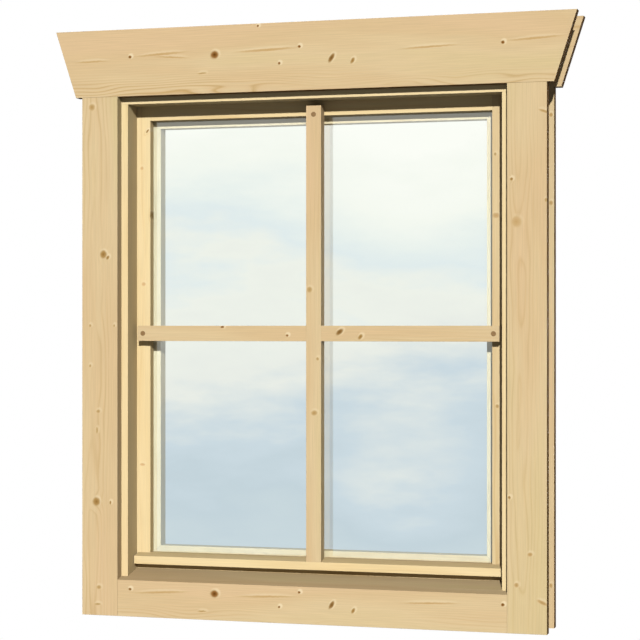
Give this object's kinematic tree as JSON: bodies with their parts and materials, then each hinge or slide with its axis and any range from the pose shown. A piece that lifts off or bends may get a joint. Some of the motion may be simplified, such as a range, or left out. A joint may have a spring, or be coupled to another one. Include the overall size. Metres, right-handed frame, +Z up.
{
  "type": "wooden casement window",
  "caption": "Wooden casement window for a log wall: flared head board, casing boards outdoors and indoors, rebated frame with sloped sill, glazed sash with crossed bars and drip bar.",
  "frame": {"origin": "middle of the frame sill's underside, at the middle of the wall's thickness", "axes": "+X to the right seen from outdoors, +Y into the room, +Z up"},
  "size_m": [0.7746, 0.1228, 0.8609],
  "materials": {
    "knotty_pine": "planed, unpainted",
    "clear_pine": "planed, unpainted",
    "float_glass": "polished",
    "zinc_plated_steel": "satin",
    "anodised_aluminium": "satin"
  },
  "bodies": {
    "root": {"outer_head_casing": "knotty_pine", "outer_left_casing": "knotty_pine", "outer_right_casing": "knotty_pine", "outer_sill_casing": "knotty_pine", "inner_head_casing": "knotty_pine", "inner_left_casing": "knotty_pine", "inner_right_casing": "knotty_pine", "inner_sill_casing": "knotty_pine", "vertical_glazing_bar": "knotty_pine", "horizontal_glazing_bar": "knotty_pine", "frame_head": "clear_pine", "frame_left_jamb": "clear_pine", "frame_right_jamb": "clear_pine", "frame_sill": "clear_pine", "sash_top_rail": "clear_pine", "sash_bottom_rail": "clear_pine", "sash_left_stile": "clear_pine", "sash_right_stile": "clear_pine", "drip_bar": "clear_pine", "top_bead": "clear_pine", "bottom_bead": "clear_pine", "left_bead": "clear_pine", "right_bead": "clear_pine", "glass_pane": "float_glass", "upper_hinge_casing_leaf": "zinc_plated_steel", "upper_hinge_sash_leaf": "zinc_plated_steel", "lower_hinge_casing_leaf": "zinc_plated_steel", "lower_hinge_sash_leaf": "zinc_plated_steel", "handle_rose": "anodised_aluminium", "handle_lever": "anodised_aluminium"}
  },
  "joints": []
}
